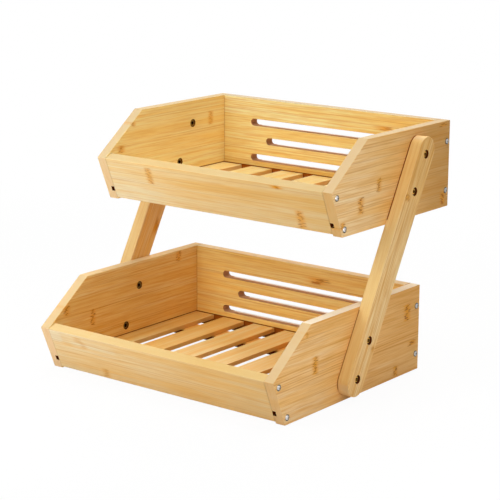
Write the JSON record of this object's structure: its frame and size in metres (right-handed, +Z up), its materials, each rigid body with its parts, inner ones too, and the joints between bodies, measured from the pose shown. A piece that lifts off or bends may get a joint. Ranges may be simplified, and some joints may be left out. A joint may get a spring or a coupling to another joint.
{
  "type": "tiered fruit basket",
  "caption": "Open bamboo counter basket in tiers: trays with sloping sides, slotted backs and slatted floors, the upper one raised and set back on slanting bolted legs.",
  "frame": {"origin": "on the ground, below the middle of the overall width and depth", "axes": "+X to the basket's right, +Y to its back, +Z up"},
  "size_m": [0.382, 0.3468, 0.297],
  "materials": {
    "bamboo_board": "strip-laminated bamboo board, clear satin lacquer",
    "bamboo_slat": "solid bamboo strip, clear satin lacquer",
    "bamboo_leg": "strip-laminated bamboo bar, clear satin lacquer",
    "bright_screw": "bright nickel-plated steel",
    "bronze_fixing": "dark bronze-plated steel",
    "brad_steel": "plain steel wire"
  },
  "bodies": {
    "root": {"lower_left_side_panel": "bamboo_board", "lower_right_side_panel": "bamboo_board", "lower_front_panel": "bamboo_board", "lower_back_panel": "bamboo_board", "lower_floor_slat_1": "bamboo_slat", "lower_floor_slat_2": "bamboo_slat", "lower_floor_slat_3": "bamboo_slat", "lower_floor_slat_4": "bamboo_slat", "lower_floor_slat_5": "bamboo_slat", "lower_floor_slat_6": "bamboo_slat", "lower_floor_slat_7": "bamboo_slat", "lower_front_floor_rail": "bamboo_slat", "lower_rear_floor_rail": "bamboo_slat", "lower_floor_brads": "brad_steel", "lower_front_screws": "bright_screw", "lower_back_screws": "bright_screw", "upper_left_side_panel": "bamboo_board", "upper_right_side_panel": "bamboo_board", "upper_front_panel": "bamboo_board", "upper_back_panel": "bamboo_board", "upper_floor_slat_1": "bamboo_slat", "upper_floor_slat_2": "bamboo_slat", "upper_floor_slat_3": "bamboo_slat", "upper_floor_slat_4": "bamboo_slat", "upper_floor_slat_5": "bamboo_slat", "upper_floor_slat_6": "bamboo_slat", "upper_floor_slat_7": "bamboo_slat", "upper_front_floor_rail": "bamboo_slat", "upper_rear_floor_rail": "bamboo_slat", "upper_floor_brads": "brad_steel", "upper_front_screws": "bright_screw", "upper_back_screws": "bright_screw", "left_leg": "bamboo_leg", "left_leg_bolts": "bronze_fixing", "left_leg_nuts": "bronze_fixing", "right_leg": "bamboo_leg", "right_leg_bolts": "bronze_fixing", "right_leg_nuts": "bronze_fixing"}
  },
  "joints": []
}
